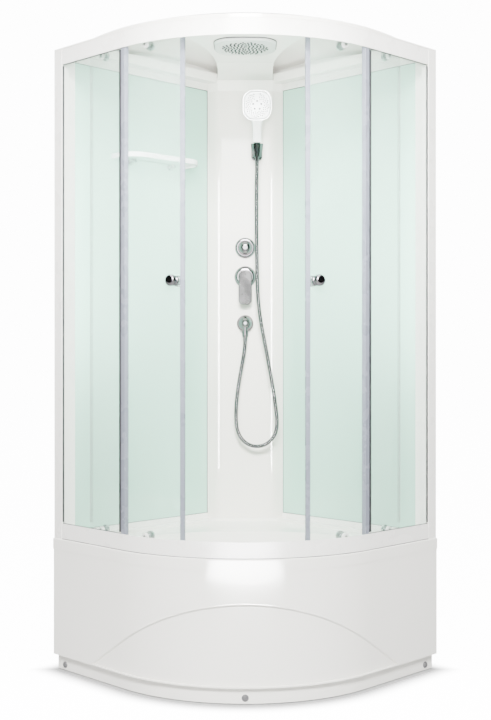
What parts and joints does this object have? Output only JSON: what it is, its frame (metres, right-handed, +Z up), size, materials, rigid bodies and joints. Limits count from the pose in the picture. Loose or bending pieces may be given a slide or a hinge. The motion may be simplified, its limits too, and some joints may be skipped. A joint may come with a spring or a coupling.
{
  "type": "shower cabin",
  "caption": "Quadrant corner shower cabin with a deep tray, curved sliding glass doors on rollers, pale glass back walls, a domed roof with rain head, mixer, diverter and hand shower on a hose.",
  "frame": {"origin": "middle of the bounding box's bottom face, on the floor that the feet stand on", "axes": "+Z up, -Y out of the rounded front, +X to the right of someone facing the front; the back corner is at +Y"},
  "size_m": [1.2728, 0.9748, 2.15],
  "materials": {
    "white_acrylic": "glossy white acrylic",
    "white_profile": "white powder-coated extrusion",
    "mint_glass": "pale mint back-painted glass",
    "clear_glass": "clear tempered glass",
    "black_rubber": "black seal",
    "grey_cap": "grey cap",
    "galvanised_steel": "zinc-coated steel",
    "black_plastic": "black foot",
    "grey_plastic": "waste fitting plastic",
    "chrome": "bright chrome",
    "roller_metal": "plated steel",
    "roller_nylon": "nylon",
    "white_plastic": "glossy white plastic",
    "spray_plate": "pale grey spray plate",
    "strip_plastic": "magnet strip",
    "clear_seal": "clear soft seal",
    "brass": "cast brass",
    "copper_pipe": "supply pipe"
  },
  "bodies": {
    "cabin": {"apron": "white_acrylic", "base_frame": "galvanised_steel", "bottom_rail": "white_profile", "column_panel": "white_acrylic", "diverter_plate": "chrome", "diverter_valve": "brass", "drain_cover": "chrome", "drain_trap": "grey_plastic", "edge_profiles": "white_profile", "fixed_gaskets": "black_rubber", "foot_nuts": "galvanised_steel", "foot_pads": "black_plastic", "foot_studs": "galvanised_steel", "hose": "chrome", "hose_elbow": "chrome", "hose_nut": "chrome", "left_fixed_glass": "clear_glass", "left_post": "white_profile", "left_wall_frame": "white_profile", "left_wall_glass": "mint_glass", "mixer_plate": "chrome", "mixer_valve": "brass", "pipes": "copper_pipe", "rain_head": "white_plastic", "right_fixed_glass": "clear_glass", "right_post": "white_profile", "right_wall_frame": "white_profile", "right_wall_glass": "mint_glass", "roof": "white_acrylic", "screw_caps": "grey_cap", "shelf_brackets": "chrome", "shelf_plate": "clear_glass", "shelf_rim": "white_plastic", "shower_holder": "chrome", "top_rail": "white_profile", "tray": "white_acrylic"},
    "mixer_hub": {"mixer_hub": "chrome"},
    "mixer_lever": {"mixer_lever": "chrome"},
    "diverter": {"diverter_knob": "chrome"},
    "hand_shower": {"hand_shower": "white_plastic", "shower_face": "spray_plate", "hose_cone": "chrome"},
    "left_door": {"left_door_glass": "clear_glass", "left_meeting_strip": "strip_plastic", "left_trailing_seal": "clear_seal", "left_door_knobs": "chrome", "left_roller_mounts": "roller_metal"},
    "left_wheel_top_front": {"left_wheel_top_front": "roller_nylon"},
    "left_wheel_top_rear": {"left_wheel_top_rear": "roller_nylon"},
    "left_wheel_low_front": {"left_wheel_low_front": "roller_nylon"},
    "left_wheel_low_rear": {"left_wheel_low_rear": "roller_nylon"},
    "right_door": {"right_door_glass": "clear_glass", "right_meeting_strip": "strip_plastic", "right_trailing_seal": "clear_seal", "right_door_knobs": "chrome", "right_roller_mounts": "roller_metal"},
    "right_wheel_top_front": {"right_wheel_top_front": "roller_nylon"},
    "right_wheel_top_rear": {"right_wheel_top_rear": "roller_nylon"},
    "right_wheel_low_front": {"right_wheel_low_front": "roller_nylon"},
    "right_wheel_low_rear": {"right_wheel_low_rear": "roller_nylon"}
  },
  "joints": [
    {"name": "left_door_slide", "type": "hinge", "parent": "cabin", "child": "left_door", "pos_m": [0.16575, 0.3216, 0], "axis": [0, 0, -1], "range_deg": [-14.4, 3.6]},
    {"name": "left_wheel_top_front_spin", "type": "hinge", "parent": "left_door", "child": "left_wheel_top_front", "pos_m": [-0.30855, -0.34353, 2.002], "axis": [-0.5806, -0.8142, 0], "range_deg": [-351, 1389]},
    {"name": "left_wheel_top_rear_spin", "type": "hinge", "parent": "left_door", "child": "left_wheel_top_rear", "pos_m": [-0.45945, -0.20421, 2.002], "axis": [-0.7653, -0.6437, 0], "range_deg": [-351, 1389]},
    {"name": "left_wheel_low_front_spin", "type": "hinge", "parent": "left_door", "child": "left_wheel_low_front", "pos_m": [-0.30855, -0.34353, 0.482], "axis": [-0.5806, -0.8142, 0], "range_deg": [-1389, 351]},
    {"name": "left_wheel_low_rear_spin", "type": "hinge", "parent": "left_door", "child": "left_wheel_low_rear", "pos_m": [-0.45945, -0.20421, 0.482], "axis": [-0.7653, -0.6437, 0], "range_deg": [-1389, 351]},
    {"name": "right_door_slide", "type": "hinge", "parent": "cabin", "child": "right_door", "pos_m": [-0.16575, 0.3216, 0], "axis": [0, 0, 1], "range_deg": [-14.4, 3.6]},
    {"name": "right_wheel_top_front_spin", "type": "hinge", "parent": "right_door", "child": "right_wheel_top_front", "pos_m": [0.30855, -0.34353, 2.002], "axis": [0.5806, -0.8142, 0], "range_deg": [-1389, 351]},
    {"name": "right_wheel_top_rear_spin", "type": "hinge", "parent": "right_door", "child": "right_wheel_top_rear", "pos_m": [0.45945, -0.20421, 2.002], "axis": [0.7653, -0.6437, 0], "range_deg": [-1389, 351]},
    {"name": "right_wheel_low_front_spin", "type": "hinge", "parent": "right_door", "child": "right_wheel_low_front", "pos_m": [0.30855, -0.34353, 0.482], "axis": [0.5806, -0.8142, 0], "range_deg": [-351, 1389]},
    {"name": "right_wheel_low_rear_spin", "type": "hinge", "parent": "right_door", "child": "right_wheel_low_rear", "pos_m": [0.45945, -0.20421, 0.482], "axis": [0.7653, -0.6437, 0], "range_deg": [-351, 1389]},
    {"name": "temperature_turn", "type": "hinge", "parent": "cabin", "child": "mixer_hub", "pos_m": [0, 0.37149, 1.328], "axis": [0, 1, 0], "range_deg": [-45, 45]},
    {"name": "flow_lift", "type": "hinge", "parent": "mixer_hub", "child": "mixer_lever", "pos_m": [0, 0.34549, 1.328], "axis": [-1, 0, 0], "range_deg": [0, 18]},
    {"name": "diverter_turn", "type": "hinge", "parent": "cabin", "child": "diverter", "pos_m": [0, 0.37149, 1.435], "axis": [0, -1, 0], "range_deg": [-45, 45]},
    {"name": "hand_shower_lift", "type": "slide", "parent": "cabin", "child": "hand_shower", "axis": [0, -0.1736, 0.9848], "range_m": [0, 0.055], "deforming": ["hose"]}
  ],
  "couplings": [
    {"joint": "left_wheel_top_front_spin", "follows": "left_door_slide", "ratio": -96.108},
    {"joint": "left_wheel_top_rear_spin", "follows": "left_door_slide", "ratio": -96.108},
    {"joint": "left_wheel_low_front_spin", "follows": "left_door_slide", "ratio": 96.108},
    {"joint": "left_wheel_low_rear_spin", "follows": "left_door_slide", "ratio": 96.108},
    {"joint": "right_wheel_top_front_spin", "follows": "right_door_slide", "ratio": 96.108},
    {"joint": "right_wheel_top_rear_spin", "follows": "right_door_slide", "ratio": 96.108},
    {"joint": "right_wheel_low_front_spin", "follows": "right_door_slide", "ratio": -96.108},
    {"joint": "right_wheel_low_rear_spin", "follows": "right_door_slide", "ratio": -96.108}
  ]
}
